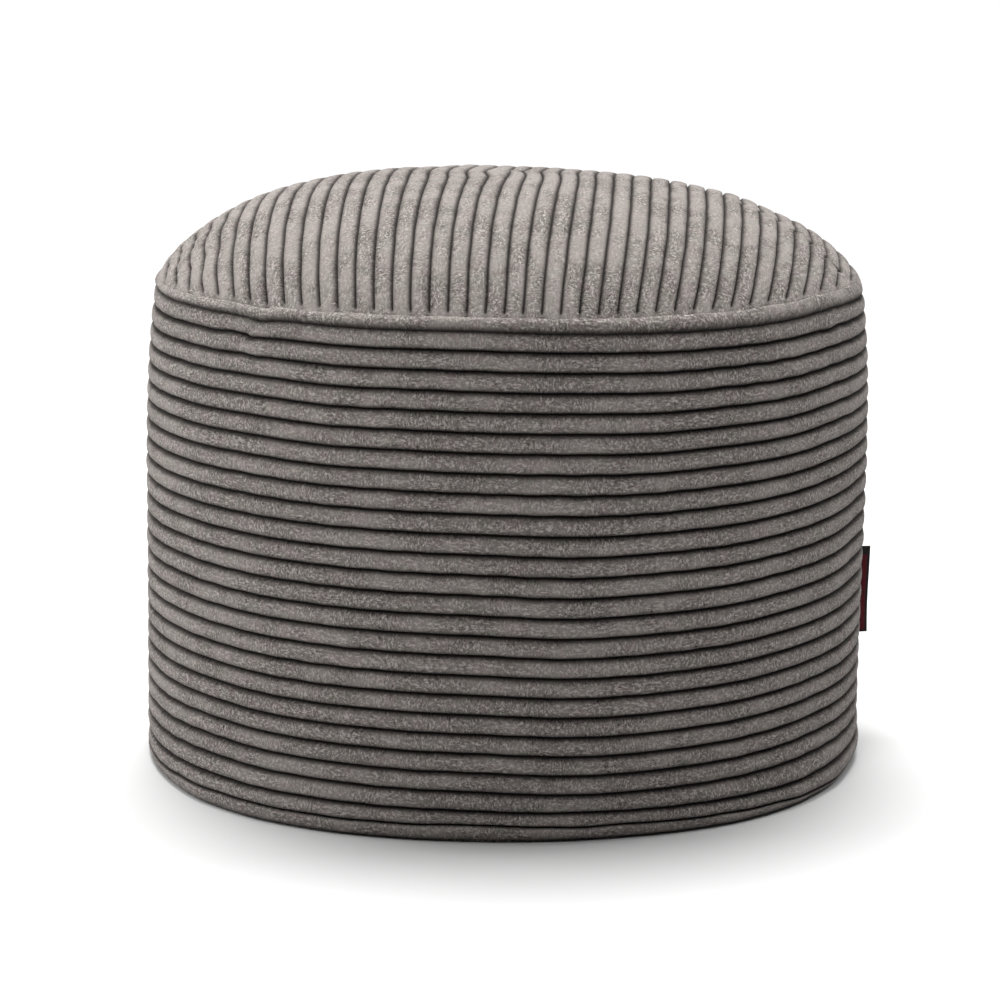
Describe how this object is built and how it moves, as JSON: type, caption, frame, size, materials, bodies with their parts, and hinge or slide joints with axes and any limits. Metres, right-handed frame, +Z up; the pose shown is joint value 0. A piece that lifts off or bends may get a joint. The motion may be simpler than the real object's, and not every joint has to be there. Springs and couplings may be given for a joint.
{
  "type": "round bean bag footstool",
  "caption": "Round filled footstool in wide-wale corduroy: domed top panel, ribbed side band, flat base panel and a blank folded side label.",
  "frame": {"origin": "middle of the underside, on the floor", "axes": "+Z up through the crown, -Y the front as seen in the picture, +X the right-hand side, near the label"},
  "size_m": [0.5116, 0.5, 0.4056],
  "materials": {
    "top_corduroy": "warm grey cut-pile corduroy with wide wales, plush, crushed in patches",
    "band_corduroy": "warm grey cut-pile corduroy with wide wales, plush, crushed in patches",
    "base_cloth": "warm grey corduroy, its wales pressed flat",
    "label_tape": "dark red woven tape with a black band at its top edge, no lettering"
  },
  "bodies": {
    "root": {"top_panel": "top_corduroy", "side_band": "band_corduroy", "base_panel": "base_cloth", "label": "label_tape"}
  },
  "joints": []
}
